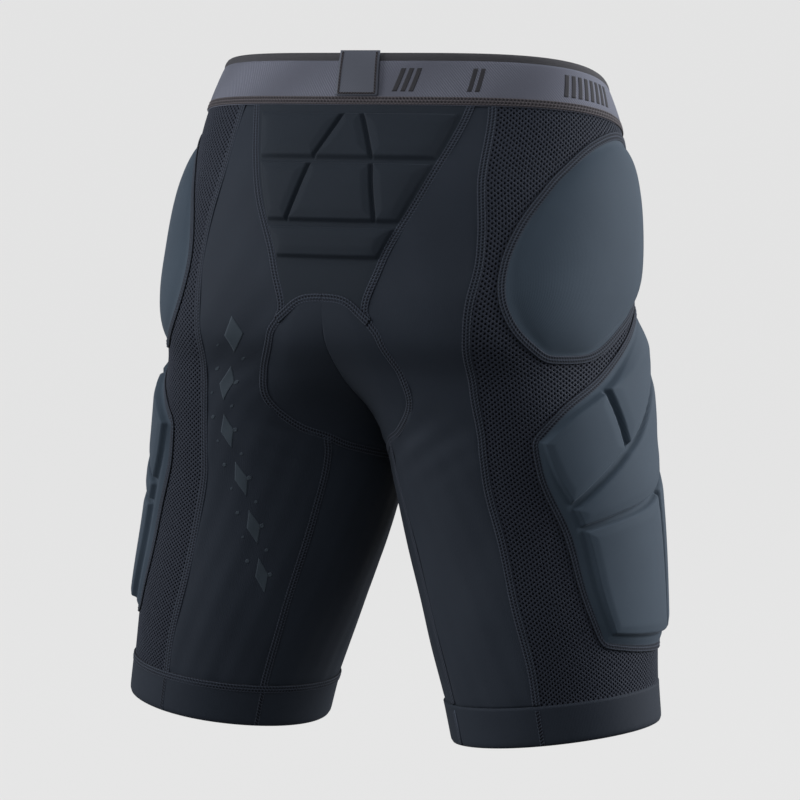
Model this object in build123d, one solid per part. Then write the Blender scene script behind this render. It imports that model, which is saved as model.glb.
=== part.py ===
"""Padded impact shorts: every fabric panel, foam pad and band as its own solid.

Units are millimetres, +Z up.  The wearer faces -Y, the left side is +X.
The origin is the centre of the waist opening, at the height where the
waistband crosses the hips.
"""
from build123d import *
import math
import os

import numpy as np

os.makedirs("parts", exist_ok=True)

# ---------------------------------------------------------------- driving sizes
WAIST_BOTTOM = -34.0      # height where the waistband meets the shorts
BINDING = 6.0             # dark edge strip at the top of the waistband
BAND_SEAM = 6.0           # stitched strip under the waistband
HEM_TOP = -455.0          # upper edge of the leg hem
HEM_BOTTOM = -483.0       # free edge of the leg hem
REAR_RISE = 17.0          # waistband stands this much higher at the rear
FRONT_DROP = 46.0         # and this much lower at the front than at the rear
FADE_HEIGHT = 260.0       # the rise and drop die away over this height
BAND_DROP = 22.0          # further slope of the waistband down to the front
BAND_FADE = 60.0          # which dies away over this height under the waistband
LEG_TILT = 0.13           # hem plane climbs outwards, square to the splayed leg
TILT_START = -285.0       # leg sections begin to tilt here
TILT_LENGTH = 198.0       # and are fully tilted this much lower

FABRIC = 1.2              # stretch fabric
LINING = 0.8              # thin fabric behind the tailbone cells
MESH = 1.2                # side mesh
BAND = 2.0                # elastic waistband and turned-up hem
SEAM_THICK = 0.8          # stitched strips
SEAM_LIFT = 1.4           # the strip under the waistband clears the yoke by this
GAP = 0.5                 # clear space between layers
EDGE = 0.25               # half the clear space between panels, in degrees
HIP_FOAM = 11.0           # crown of the hip pad
THIGH_FOAM = 7.0          # thickness of the thigh pad cells
TAIL_FOAM = 5.0           # thickness of the tailbone cells
SEAT_FOAM = 7.0           # thickness of the inner seat pad

# The leg turns forward about a line through both hips.
JOINT_SLOPE = math.radians(35)   # the free part of the leg is cut on this slant
JOINT_REACH = 346.0              # distance of that cut from the waist centre

# Horizontal sections of one half of the body, from the waist to the hem:
# height, centre x, reach from the mid plane, centre y, depth in front,
# depth behind, fullness of the seat.
SECTIONS = np.array([
    (0, 0, 150, -6, 96, 91, 2),
    (-34, 0, 164, -1, 103, 95, 5),
    (-90, 0, 170, 7, 112, 121, 8),
    (-140, 0, 174, 12, 120, 134, 12),
    (-165, 7, 177, 13, 123, 138, 15),
    (-190, 27, 180, 13, 125, 136, 14),
    (-215, 58, 181, 14, 124, 122, 9),
    (-235, 80, 184, 15, 120, 115, 5),
    (-255, 90.5, 187, 16, 112, 109, 3),
    (-270, 94.5, 189, 17, 105, 106, 2),
    (-300, 100, 194, 18, 101, 100, 1),
    (-330, 106, 198, 20, 97, 95, 0),
    (-400, 121, 206, 29, 86, 87, 0),
    (-455, 132, 210, 36, 78, 79, 0),
    (-483, 137, 213, 38, 76, 76, 0),
], float)
HALF_GAP = 0.9            # a left-hand piece stays this far from the mid plane

# Seams as (angle, height).  Angle 0 is the outer side of the leg, 90 the rear,
# 180 the inside and 270 the front.
YOKE_SEAM = [(58, -34), (63, -67), (68.5, -100), (73.5, -127), (77.5, -150), (82, -170)]
SADDLE_REAR = [(83.5, -190), (91, -215), (104, -238), (121, -257), (135, -266)]
INSEAM_REAR = [(137, -282), (135, -320), (133, -378), (132, -460)]
SIDE_REAR = [(52, -34), (52, -80), (50, -120), (51, -148), (57, -185), (66, -215),
             (75, -242), (80, -290), (79, -335), (78, -380), (75, -425), (75, -460)]
SIDE_FRONT = [(-48, -34), (-49, -90), (-52, -150), (-60, -215), (-66, -260),
              (-71, -320), (-73, -390), (-73, -460)]
FRONT_SEAM = [(286, -34), (285, -90), (282, -130), (277, -160), (272, -182)]
SADDLE_FRONT = [(269, -200), (263, -218), (251, -242), (236, -259), (225, -267)]
INSEAM_FRONT = [(223, -282), (225, -320), (227, -378), (228, -460)]
SADDLE_LOW = [(135, -266), (150, -276), (180, -286), (210, -276), (225, -267)]

# Pad outlines, clockwise from the top front corner.
HIP_TOP = [(-24, -64), (-11, -46), (3, -45), (18, -58), (30, -82)]
HIP_REAR = [(30, -82), (39, -111), (44, -146), (43, -180), (37, -203)]
HIP_BOTTOM = [(-26, -156), (-12, -169), (4, -185), (20, -203), (37, -203)]
HIP_FRONT = [(-24, -64), (-32, -87), (-36, -114), (-34, -138), (-26, -156)]
THIGH_TOP = [(-38, -178), (-14, -176), (16, -217), (38, -238), (55, -260)]
THIGH_REAR = [(55, -260), (55, -292), (49, -330), (45, -373), (37, -414)]
THIGH_BOTTOM = [(-50, -420), (-28, -425), (-6, -425), (16, -421), (37, -414)]
THIGH_FRONT = [(-38, -178), (-54, -220), (-60, -290), (-57, -360), (-50, -420)]

# Corners of the foam cells inside the thigh pad: across and down, both 0 to 1.
THIGH_CELLS = {
    "a": [(0.56, 0.06), (0.95, 0.06), (0.92, 0.36), (0.59, 0.28)],
    "b": [(0.07, 0.06), (0.53, 0.06), (0.56, 0.27), (0.07, 0.20)],
    "c": [(0.07, 0.23), (0.57, 0.31), (0.93, 0.40), (0.92, 0.47),
          (0.45, 0.47), (0.07, 0.47)],
    "d": [(0.45, 0.50), (0.92, 0.50), (0.92, 0.94), (0.42, 0.94)],
    "e": [(0.07, 0.50), (0.42, 0.50), (0.39, 0.94), (0.07, 0.94)],
}

# Tailbone cells: half width in degrees at the top and bottom of each row.
TAIL_ROWS = [(-41, -71), (-74, -112), (-116, -136)]
TAIL_EDGE = [(28.5, 24.4), (24.0, 17.6), (16.8, 13.4)]
TAIL_CUT = [(2.5, 8.0), (8.3, 11.8)]
TAIL_SLIT = 1.0
TAIL_HIGH, TAIL_LOW = -36.0, -148.0   # the yoke fabric is raised between these heights
TAB_HALF = 6.0                        # half the width of the rear tab, in degrees


# ---------------------------------------------------------------- body surface
def smooth(x, xs, ys):
    """Smooth curve through the given points, held level past both ends."""
    order = np.argsort(xs)
    xs, ys = np.asarray(xs, float)[order], np.asarray(ys, float)[order]
    step = np.diff(xs)
    rise = np.diff(ys) / step
    slope = np.concatenate([[rise[0]], np.zeros(len(xs) - 2), [rise[-1]]])
    slope[1:-1] = (rise[:-1] * step[1:] + rise[1:] * step[:-1]) / (step[1:] + step[:-1])
    x = np.clip(x, xs[0], xs[-1])
    i = np.clip(np.searchsorted(xs, x) - 1, 0, len(xs) - 2)
    t = (x - xs[i]) / step[i]
    return ((2 * t**3 - 3 * t**2 + 1) * ys[i] + (t**3 - 2 * t**2 + t) * step[i] * slope[i]
            + (3 * t**2 - 2 * t**3) * ys[i + 1] + (t**3 - t**2) * step[i] * slope[i + 1])


def section(height):
    """Centre x, half width, centre y, front depth, rear depth and seat fullness."""
    values = [smooth(height, SECTIONS[:, 0], SECTIONS[:, k]) for k in range(1, 7)]
    values[1] = values[1] - values[0]
    return values


def middle(height):
    """Angle at which a section meets the mid plane behind the body."""
    centre, width = section(height)[:2]
    return np.degrees(np.arccos(np.clip(-centre / width, -1, 1)))


def body(angle, height):
    """Point of the left half of the body surface."""
    turn = np.radians(np.asarray(angle, float))
    height = np.asarray(height, float)
    centre, width, centre_y, front, rear, full = section(height)
    c, s = np.cos(turn), np.sin(turn)
    x = centre + width * c
    depth = np.where(s > 0, rear, front)
    cheek = np.where(s > 0, full, 0.35 * full)
    y = centre_y + depth * s + 4 * cheek * np.sign(s) * np.clip(c, 0, 1)**2 * s**2
    fade = np.clip((FADE_HEIGHT + height) / FADE_HEIGHT, 0, 1)**1.5
    z = height + REAR_RISE * fade - FRONT_DROP * fade * (1 - s)**2 / 4
    t = np.clip((height + 30 + BAND_FADE) / BAND_FADE, 0, 1)
    z = z - BAND_DROP * t * t * (3 - 2 * t) * (1 - s)**2 / 4
    tilt = np.clip((TILT_START - height) / TILT_LENGTH, 0, 1)
    z = z + tilt * LEG_TILT * (x - centre)
    return np.stack(np.broadcast_arrays(x, y, z), -1)


def skin(angle, height, lift):
    """Left half of the body surface, pushed outwards by lift."""
    across = body(angle + 0.2, height) - body(angle - 0.2, height)
    down = body(angle, height + 0.5) - body(angle, height - 0.5)
    normal = np.cross(across, down)
    normal = normal / np.linalg.norm(normal, axis=-1, keepdims=True)
    return body(angle, height) + normal * np.asarray(lift, float)[..., None]


def apart(grid):
    """Ease a left-hand grid off the mid plane, so that the two halves stay clear."""
    x = grid[..., 0]
    grid[..., 0] = (x + np.sqrt(x**2 + 4 * HALF_GAP**2)) / 2
    return grid


# ---------------------------------------------------------------- solids
def to_face(grid):
    """Smooth face through a grid of points; small grids are followed more closely."""
    rows = [[Vector(*map(float, p)) for p in row] for row in grid]
    tolerance = 0.2 if len(grid) * len(grid[0]) > 300 else 0.02
    return Face.make_surface_from_array_of_points(rows, tol=tolerance, min_deg=3, max_deg=3)


def ends(face, grid):
    """The four boundary edges of a face, in the order of the grid's four sides."""
    middles = [grid[len(grid) // 2, 0], grid[len(grid) // 2, -1],
               grid[0, grid.shape[1] // 2], grid[-1, grid.shape[1] // 2]]
    edges = face.edges()
    return [min(edges, key=lambda e: e.distance_to(Vector(*map(float, m)))) for m in middles]


def shell_faces(inner, outer, walls=(0, 1, 2, 3)):
    """Inner and outer face of a panel and the walls named by their side number."""
    face_in, face_out = to_face(inner), to_face(outer)
    rim_in, rim_out = ends(face_in, inner), ends(face_out, outer)
    sides = [Face.make_surface_from_curves(rim_in[k], rim_out[k]) for k in walls]
    return [face_in, face_out] + sides


def close(faces):
    solid = Solid(Shell(faces))
    return solid if solid.volume > 0 else Solid(Shell([-f for f in faces]))


def save(name, solid):
    export_step(solid, f"parts/{name}.step")
    box = solid.bounding_box()
    print(f"{name}: volume {solid.volume / 1000:.1f} cm3, valid {solid.is_valid}, "
          f"{box.min.Z:.0f}..{box.max.Z:.0f}")


def save_pair(name, solid):
    """The left piece and its mirror image on the right."""
    save(f"{name}_left", solid)
    save(f"{name}_right", mirror(solid, about=Plane.YZ))


def panel(name, angle, height, low, high):
    """Left and right solids between two lifts over a grid of angles and heights."""
    grids = [apart(skin(angle, height, np.broadcast_to(lift, angle.shape)))
             for lift in (low, high)]
    save_pair(name, close(shell_faces(*grids)))


def half_ring(first, last, height, low, high, count=13):
    """Solid half of a closed band, between two angles and over a list of heights."""
    angle, level = np.meshgrid(np.linspace(first, last, count), height, indexing="ij")
    grids = [skin(angle, level, np.full(angle.shape, lift)) for lift in (low, high)]
    return close(shell_faces(*grids))


# ---------------------------------------------------------------- layouts
def seam(points):
    """Seam angle as a function of height."""
    angles, heights = zip(*points)
    return lambda h: smooth(h, heights, angles)


def cut_height(angle_at):
    """Height where each down-running line meets the slanted cut of the leg."""
    high = np.full(angle_at(np.array([[-200.0]])).shape, -200.0)
    low = np.full(high.shape, -470.0)
    for _ in range(40):
        mid = (high + low) / 2
        point = body(angle_at(mid), mid)
        reach = math.sin(JOINT_SLOPE) * point[..., 0] - math.cos(JOINT_SLOPE) * point[..., 2]
        above = reach < JOINT_REACH
        high = np.where(above, mid, high)
        low = np.where(above, low, mid)
    return (high + low) / 2


def between(edge_a, edge_b, top, bottom, across=21, down=31):
    """Grid of angles and heights between two seams; None stands for the slanted cut."""
    s = np.linspace(0, 1, across)[:, None]

    def angle_at(h):
        return (1 - s) * edge_a(h) + s * edge_b(h)

    top = cut_height(angle_at) - GAP / 2 if top is None else np.full(s.shape, top)
    bottom = cut_height(angle_at) + GAP / 2 if bottom is None else np.full(s.shape, bottom)
    height = top + (bottom - top) * np.linspace(0, 1, down)[None, :]
    return angle_at(height), height


def curve(points, t):
    """Smooth (angle, height) line through the points, t from 0 to 1."""
    knots = np.linspace(0, 1, len(points))
    points = np.asarray(points, float)
    return np.stack([smooth(t, knots, points[:, 0]), smooth(t, knots, points[:, 1])], -1)


def patch(top, rear, bottom, front, s, t):
    """Angles and heights inside four outlines, s from front to rear, t downwards."""
    a, b = curve(top, s), curve(bottom, s)
    c, d = curve(front, t), curve(rear, t)
    s, t = s[..., None], t[..., None]
    corner = [np.asarray(p, float) for p in (top[0], top[-1], bottom[0], bottom[-1])]
    mix = ((1 - s) * (1 - t) * corner[0] + s * (1 - t) * corner[1]
           + (1 - s) * t * corner[2] + s * t * corner[3])
    grid = (1 - t) * a + t * b + (1 - s) * c + s * d - mix
    return grid[..., 0], grid[..., 1]


def square(count, low=0.0, high=1.0):
    return np.meshgrid(np.linspace(low, high, count), np.linspace(low, high, count),
                       indexing="ij")


def ramp(t):
    t = np.clip(t, 0, 1)
    return t * t * (3 - 2 * t)


# ---------------------------------------------------------------- waistband
def waist_halves(top, low, lift, thick):
    half = half_ring(-90, 90, np.linspace(top, low, 5), lift, lift + thick)
    return half, mirror(half, about=Plane.YZ)


half, other = waist_halves(-BINDING - GAP, WAIST_BOTTOM + GAP, 0.0, BAND)
save("waistband", half + other)
half, other = waist_halves(0.0, -BINDING, 0.0, BAND + 0.4)
save("waistband_binding", half + other)
save("waistband_seam", Compound(waist_halves(WAIST_BOTTOM + BAND_SEAM, WAIST_BOTTOM,
                                             BAND + SEAM_LIFT, SEAM_THICK)))


def mid_panel(name, angle, level, mirrored, low, high):
    """Panel that crosses the mid plane; mirrored marks its right-hand points."""
    grids = []
    for lift in (low, high):
        grid = skin(angle, level, np.broadcast_to(lift, angle.shape))
        grid[..., 0] *= np.where(mirrored, -1.0, 1.0)
        grids.append(grid)
    save(name, close(shell_faces(*grids)))


def mid_grid(centre, edge, top, bottom, across=25, down=25):
    """Angles, heights and right-hand marks between a seam and its mirror image."""
    u, level = np.meshgrid(np.linspace(-1, 1, across), np.linspace(top, bottom, down),
                           indexing="ij")
    return centre(level) + np.abs(u) * (edge(level) - centre(level)), level, u < 0


grid = mid_grid(middle, lambda h: 90 - TAB_HALF, 2, WAIST_BOTTOM + BAND_SEAM + GAP, 9, 9)
mid_panel("rear_tab", *grid, BAND + 1.0, BAND + 2.6)

# ---------------------------------------------------------------- tailbone pad
yoke = seam(YOKE_SEAM)


def yoke_lift(angle, level):
    """How far the yoke fabric stands off, raised over the tailbone cells."""
    across = (middle(level) - angle) / (middle(level) - yoke(level))
    down = 2 * (level - TAIL_HIGH) / (TAIL_LOW - TAIL_HIGH) - 1
    crown = np.clip(1 - across**8, 0, 1) * np.clip(1 - np.abs(down)**8, 0, 1)
    return FABRIC + GAP + TAIL_FOAM * crown


angle, level, mirrored = mid_grid(middle, lambda h: yoke(h) + EDGE, WAIST_BOTTOM - GAP, -169)
mid_panel("rear_yoke_lining", angle, level, mirrored, 0.0, LINING)
lift = yoke_lift(angle, level)
mid_panel("rear_yoke", angle, level, mirrored, lift, lift + FABRIC)


def tail_cell(name, corners):
    """Foam block between four (lean, height) corners, just under the yoke fabric."""
    s, t = square(11)
    (a, top), (b, _), (c, low), (d, _) = corners
    lean = (1 - t) * (a + (b - a) * s) + t * (d + (c - d) * s)
    level = top + (low - top) * t
    angle = middle(level) - np.abs(lean)
    mid_panel(name, angle, level, lean < 0, FABRIC + 0.3, yoke_lift(angle, level) - GAP)


for row, ((top, low), (edge_top, edge_low)) in enumerate(zip(TAIL_ROWS, TAIL_EDGE), 1):
    if row > len(TAIL_CUT):
        tail_cell(f"tail_pad_{row}", [(-edge_top, top), (edge_top, top),
                                      (edge_low, low), (-edge_low, low)])
        continue
    cut_top, cut_low = TAIL_CUT[row - 1]
    tail_cell(f"tail_pad_{row}_middle",
              [(TAIL_SLIT - cut_top, top), (cut_top - TAIL_SLIT, top),
               (cut_low - TAIL_SLIT, low), (TAIL_SLIT - cut_low, low)])
    for word, sign in (("left", 1), ("right", -1)):
        pair = [(sign * cut_top, top), (sign * edge_top, top),
                (sign * edge_low, low), (sign * cut_low, low)]
        if sign < 0:
            pair = [pair[1], pair[0], pair[3], pair[2]]
        tail_cell(f"tail_pad_{row}_{word}", pair)


# ---------------------------------------------------------------- one side
def hip_lift(s, t):
    """Height of the hip pad's inner cover face above the mesh."""
    crown = (1 - (2 * s - 1)**2) * (1 - (2 * t - 1)**2)
    return MESH + GAP + HIP_FOAM * crown


def thigh_lift(s, t):
    """Height of the thigh pad's inner cover face above the mesh."""
    edge = (1 - (2 * s - 1)**6) * (1 - (2 * t - 1)**8)
    return MESH + GAP + (THIGH_FOAM + 0.5) * edge


def quad(corners, count=9):
    """Grid inside a polygon given by its corners: four, or six with a bent top and low side."""
    s, t = square(count)
    if len(corners) == 4:
        upper, lower = corners[:2], [corners[3], corners[2]]
    else:
        upper, lower = corners[:3], [corners[5], corners[4], corners[3]]
    knots = np.linspace(0, 1, len(upper))
    upper, lower = np.array(upper), np.array(lower)
    lines = [np.stack([np.interp(s, knots, q[:, k]) for k in (0, 1)], -1) for q in (upper, lower)]
    grid = (1 - t[..., None]) * lines[0] + t[..., None] * lines[1]
    return grid[..., 0], grid[..., 1]


saddle_rear_edge = seam(YOKE_SEAM + SADDLE_REAR + INSEAM_REAR)
side_rear_edge = seam(SIDE_REAR)
side_front_edge = seam([(a + 360, h) for a, h in SIDE_FRONT])
front_edge = seam(FRONT_SEAM + SADDLE_FRONT + INSEAM_FRONT)


def saddle_grid():
    """Saddle half, from the mid plane out to its edge, running from rear to front."""
    levels = [-172, -190, -215, -236, -255, -266, -270, -266, -255, -236, -216, -200, -184]
    rise = [(float(middle(h)) if k < 6 else 180.0 if k == 6 else 360 - float(middle(h)), h)
            for k, h in enumerate(levels)]
    outer = [(83, -172)] + SADDLE_REAR + [(180, -285)] + SADDLE_FRONT[::-1] + [(272, -184)]
    t = np.linspace(0, 1, 61)
    a, b = curve(rise, t), curve(outer, t)
    s = np.linspace(0, 0.94, 13)[:, None, None]
    grid = (1 - s) * a + s * b
    return grid[..., 0], grid[..., 1]


def shift(edge, amount):
    return lambda h: edge(h) + amount


# side mesh, seat and front: hip part and thigh part
PANELS = {
    "side_mesh": (shift(side_front_edge, EDGE - 360), shift(side_rear_edge, -EDGE), MESH),
    "seat_panel": (shift(side_rear_edge, EDGE), shift(saddle_rear_edge, -EDGE), FABRIC),
    "front_panel": (shift(front_edge, EDGE), shift(side_front_edge, -EDGE), FABRIC),
}
for part, (edge_a, edge_b, thick) in PANELS.items():
    angle, height = between(edge_a, edge_b, WAIST_BOTTOM - 0.5, None, down=61)
    panel(f"{part}_hip", angle, height, 0.0, thick)
    angle, height = between(edge_a, edge_b, None, HEM_TOP + 0.5)
    panel(f"{part}_thigh", angle, height, 0.0, thick)

# pouch in the middle of the front
grid = mid_grid(lambda h: 360 - middle(h), shift(front_edge, -EDGE), WAIST_BOTTOM - 0.5, -182)
mid_panel("front_pouch", *grid, 0.0, FABRIC)

# inside of the thigh, under the saddle
s, t = square(25)
rear_edge = seam(SADDLE_REAR + INSEAM_REAR)
low_angles, low_heights = zip(*SADDLE_LOW)
top = smooth(low_angles[0] + (low_angles[-1] - low_angles[0]) * s, low_angles, low_heights) - 1.2
height = top + (HEM_TOP + 0.5 - top) * t
angle = (1 - s) * (rear_edge(height) + EDGE) + s * (front_edge(height) - EDGE)
panel("inner_thigh", angle, height, 0.0, FABRIC)

# saddle over the crotch and the foam pad inside it
angle, height = saddle_grid()
panel("saddle", angle[:, 1:-1], height[:, 1:-1], 0.0, FABRIC)
along = np.linspace(0, 1, angle.shape[1])
depth = -(1.5 + (SEAT_FOAM - 1.5) * ramp(along / 0.12) * ramp((1 - along) / 0.12))
depth = depth[None, :] * np.ones(angle.shape)
panel("seat_pad", angle[1:-1, 2:-2], height[1:-1, 2:-2], depth[1:-1, 2:-2], -GAP)

# hip pad
HIP = (HIP_TOP, HIP_REAR, HIP_BOTTOM, HIP_FRONT)
s, t = square(15)
lift = hip_lift(s, t)
panel("hip_pad_cover", *patch(*HIP, s, t), lift, lift + FABRIC)
s, t = square(13, 0.06, 0.94)
panel("hip_pad_foam", *patch(*HIP, s, t), MESH + GAP, hip_lift(s, t) - GAP)

# thigh pad
THIGH = (THIGH_TOP, THIGH_REAR, THIGH_BOTTOM, THIGH_FRONT)
s, t = square(17)
lift = thigh_lift(s, t)
panel("thigh_pad_cover", *patch(*THIGH, s, t), lift, lift + FABRIC)
for cell, corners in THIGH_CELLS.items():
    s, t = quad(corners)
    panel(f"thigh_pad_{cell}", *patch(*THIGH, s, t), MESH + GAP, thigh_lift(s, t) - GAP - 0.3)

# leg hem and its stitched strip
def leg_outline(height, lift):
    """Closed outline of the leg at one height; it lies in one plane."""
    ring = body(np.arange(0, 360, 15), height)
    centre_x, _, centre_y = section(height)[:3]
    from_centre = ring - [centre_x, centre_y, height]
    ring += from_centre * lift / np.linalg.norm(from_centre, axis=1, keepdims=True)
    return Wire([Edge.make_spline([Vector(*map(float, p)) for p in ring], periodic=True)])


def leg_ring(name, top, low, lift, thick):
    """Closed band around the leg, left and right."""
    heights = np.linspace(top, low, 4)
    outer, inner = [Solid.make_loft([leg_outline(h, offset) for h in heights])
                    for offset in (lift + thick, lift)]
    save_pair(name, (outer - inner).solid())


leg_ring("hem", HEM_TOP - 0.3, HEM_BOTTOM, 0.0, BAND)
leg_ring("hem_seam", HEM_TOP + 3, HEM_TOP - 3, BAND + GAP, SEAM_THICK)
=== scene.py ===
"""Padded impact shorts: every visible piece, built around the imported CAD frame.

Heights, lifts and widths are in millimetres and angles in degrees, as in the
part's own source, and MM turns them into Blender's metres.  Angle 0 is the
outer side of a leg, 90 the rear, 180 the inside and 270 the front.  Pieces are
shaped for the left side (+X) and mirrored for the right.
"""
import math

import bpy
import numpy as np
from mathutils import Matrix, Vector


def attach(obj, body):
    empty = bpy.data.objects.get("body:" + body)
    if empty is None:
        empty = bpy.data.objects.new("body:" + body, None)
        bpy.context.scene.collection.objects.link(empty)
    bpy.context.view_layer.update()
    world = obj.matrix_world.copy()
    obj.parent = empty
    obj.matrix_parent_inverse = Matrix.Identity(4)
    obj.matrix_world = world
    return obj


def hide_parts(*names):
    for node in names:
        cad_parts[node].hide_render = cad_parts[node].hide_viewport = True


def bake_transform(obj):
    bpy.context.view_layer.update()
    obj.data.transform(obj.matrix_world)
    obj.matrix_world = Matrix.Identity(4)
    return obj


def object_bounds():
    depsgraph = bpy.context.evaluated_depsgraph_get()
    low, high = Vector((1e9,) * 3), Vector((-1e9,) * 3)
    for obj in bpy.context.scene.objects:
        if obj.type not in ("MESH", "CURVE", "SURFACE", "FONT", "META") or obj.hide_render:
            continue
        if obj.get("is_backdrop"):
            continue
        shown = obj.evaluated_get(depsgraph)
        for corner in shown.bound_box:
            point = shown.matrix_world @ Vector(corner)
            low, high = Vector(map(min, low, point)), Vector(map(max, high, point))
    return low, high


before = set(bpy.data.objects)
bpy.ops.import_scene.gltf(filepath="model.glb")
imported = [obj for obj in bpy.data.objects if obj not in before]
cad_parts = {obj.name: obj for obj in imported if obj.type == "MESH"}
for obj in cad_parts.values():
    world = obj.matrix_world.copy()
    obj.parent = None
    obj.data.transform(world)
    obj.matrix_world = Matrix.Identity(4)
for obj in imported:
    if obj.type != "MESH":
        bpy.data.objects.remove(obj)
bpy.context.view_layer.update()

MM = 0.001

# ---------------------------------------------------------------- driving sizes
WAIST_BOTTOM = -34.0
BINDING = 6.0                     # height of the dark edge over the waistband
WAIST_SEAM = -32.0                # the middle of the stitched strip under the waistband
HEM_TOP = -455.0
HEM_BOTTOM = -483.0
POUCH_BOTTOM = -183.0
REAR_RISE = 17.0                  # the rear of the waist stands higher and the front lower,
FRONT_DROP = 46.0                 # fading out over FADE_HEIGHT
FADE_HEIGHT = 260.0
BAND_DROP = 22.0                  # the front of the waistband dips by this much more,
BAND_FADE = 60.0                  # from BAND_FADE below BAND_DROP_END up
BAND_DROP_END = -30.0
LEG_TILT = 0.13                   # slope of the leg openings across the leg
TILT_START = -285.0
TILT_LENGTH = 198.0
FABRIC = 1.2                      # thickness of each layer
BAND = 2.0
HIP_FOAM = 11.0
THIGH_FOAM = 7.0
TAIL_FOAM = 5.0
SEAT_FOAM = 7.0
CLEAR = 0.5
SEAM_WIDTH = 6.4

# height, centre x, reach from the mid plane, centre y, front depth, rear depth, seat fullness
SECTIONS = np.array([
    (0, 0, 150, -6, 96, 91, 2),
    (-34, 0, 164, -1, 103, 95, 5),
    (-90, 0, 170, 7, 112, 121, 8),
    (-140, 0, 174, 12, 120, 134, 12),
    (-165, 7, 177, 13, 123, 138, 15),
    (-190, 27, 180, 13, 125, 136, 14),
    (-215, 58, 181, 14, 124, 122, 9),
    (-235, 80, 184, 15, 120, 115, 5),
    (-255, 90.5, 187, 16, 112, 109, 3),
    (-270, 94.5, 189, 17, 105, 106, 2),
    (-300, 100, 194, 18, 101, 100, 1),
    (-330, 106, 198, 20, 97, 95, 0),
    (-400, 121, 206, 29, 86, 87, 0),
    (-455, 132, 210, 36, 78, 79, 0),
    (-483, 137, 213, 38, 76, 76, 0),
], float)

# Seams as (angle, height).
ARCH_TOP, ARCH_FOOT, ARCH_BEND = -162.5, -178.0, 3.2    # the yoke's arched lower edge
YOKE_SEAM = [(58, -34), (63, -67), (68.5, -100), (73.5, -127), (77.5, -150), (82, -170)]
SADDLE_REAR = [(83.5, -190), (91, -215), (104, -238), (121, -257), (135, -266)]
INSEAM_REAR = [(137, -282), (135, -320), (133, -378), (132, -460)]
SIDE_REAR = [(52, -34), (52, -80), (50, -120), (51, -148), (57, -185), (66, -215),
             (75, -242), (80, -290), (79, -335), (78, -380), (75, -425), (75, -460)]
SIDE_FRONT = [(-48, -34), (-49, -90), (-52, -150), (-60, -215), (-66, -260),
              (-71, -320), (-73, -390), (-73, -460)]
FRONT_SEAM = [(286, -34), (285, -90), (282, -130), (277, -160), (272, -182)]
SADDLE_FRONT = [(269, -200), (263, -218), (251, -242), (236, -259), (225, -267)]
INSEAM_FRONT = [(223, -282), (225, -320), (227, -378), (228, -460)]
SADDLE_LOW = [(135, -266), (150, -276), (180, -286), (210, -276), (225, -267)]

# Pad outlines: top, rear, bottom and front side.
HIP = ([(-24, -64), (-11, -46), (3, -45), (18, -58), (30, -82)],
       [(30, -82), (39, -111), (44, -146), (43, -180), (37, -203)],
       [(-26, -156), (-12, -169), (4, -185), (20, -203), (37, -203)],
       [(-24, -64), (-32, -87), (-36, -114), (-34, -138), (-26, -156)])
THIGH = ([(-38, -178), (-14, -176), (16, -217), (38, -238), (55, -260)],
         [(55, -260), (55, -292), (49, -330), (45, -373), (37, -414)],
         [(-50, -420), (-28, -425), (-6, -425), (16, -421), (37, -414)],
         [(-38, -178), (-54, -220), (-60, -290), (-57, -360), (-50, -420)])
THIGH_SIZE = (190.0, 225.0)       # the thigh pad's width and height, flat
THIGH_CELLS = [
    [(0.56, 0.035), (0.96, 0.035), (0.93, 0.375), (0.585, 0.287)],
    [(0.05, 0.035), (0.54, 0.035), (0.562, 0.284), (0.05, 0.205)],
    [(0.05, 0.228), (0.57, 0.308), (0.93, 0.403), (0.93, 0.483), (0.05, 0.483)],
    [(0.44, 0.503), (0.93, 0.503), (0.93, 0.95), (0.41, 0.95)],
    [(0.05, 0.503), (0.42, 0.503), (0.39, 0.95), (0.05, 0.95)],
]
TAIL_ROWS = [(-41, -71), (-74, -112), (-116, -136)]
TAIL_EDGE = [(28.5, 24.4), (24.0, 17.6), (16.8, 13.4)]
TAIL_CUT = [(2.5, 8.0), (8.3, 11.8)]
LEAN_MM = 2.97                    # millimetres across the tailbone for one degree of lean


# ---------------------------------------------------------------- body surface
def ramp(t):
    """Smooth step from 0 to 1."""
    t = np.clip(t, 0, 1)
    return t * t * (3 - 2 * t)


def smooth(x, xs, ys):
    """Smooth curve through the given points, held level past both ends."""
    order = np.argsort(xs)
    xs, ys = np.asarray(xs, float)[order], np.asarray(ys, float)[order]
    step = np.diff(xs)
    rise = np.diff(ys) / step
    slope = np.concatenate([[rise[0]], np.zeros(len(xs) - 2), [rise[-1]]])
    slope[1:-1] = (rise[:-1] * step[1:] + rise[1:] * step[:-1]) / (step[1:] + step[:-1])
    x = np.clip(x, xs[0], xs[-1])
    i = np.clip(np.searchsorted(xs, x) - 1, 0, len(xs) - 2)
    t = (x - xs[i]) / step[i]
    return ((2 * t**3 - 3 * t**2 + 1) * ys[i] + (t**3 - 2 * t**2 + t) * step[i] * slope[i]
            + (3 * t**2 - 2 * t**3) * ys[i + 1] + (t**3 - t**2) * step[i] * slope[i + 1])


def section(height):
    """Centre x, half width, centre y, front depth, rear depth and seat fullness."""
    values = [smooth(height, SECTIONS[:, 0], SECTIONS[:, k]) for k in range(1, 7)]
    values[1] = values[1] - values[0]
    return values


def middle(height):
    """Angle at which a section meets the mid plane behind the body."""
    centre, width = section(height)[:2]
    return np.degrees(np.arccos(np.clip(-centre / width, -1, 1)))


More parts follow.
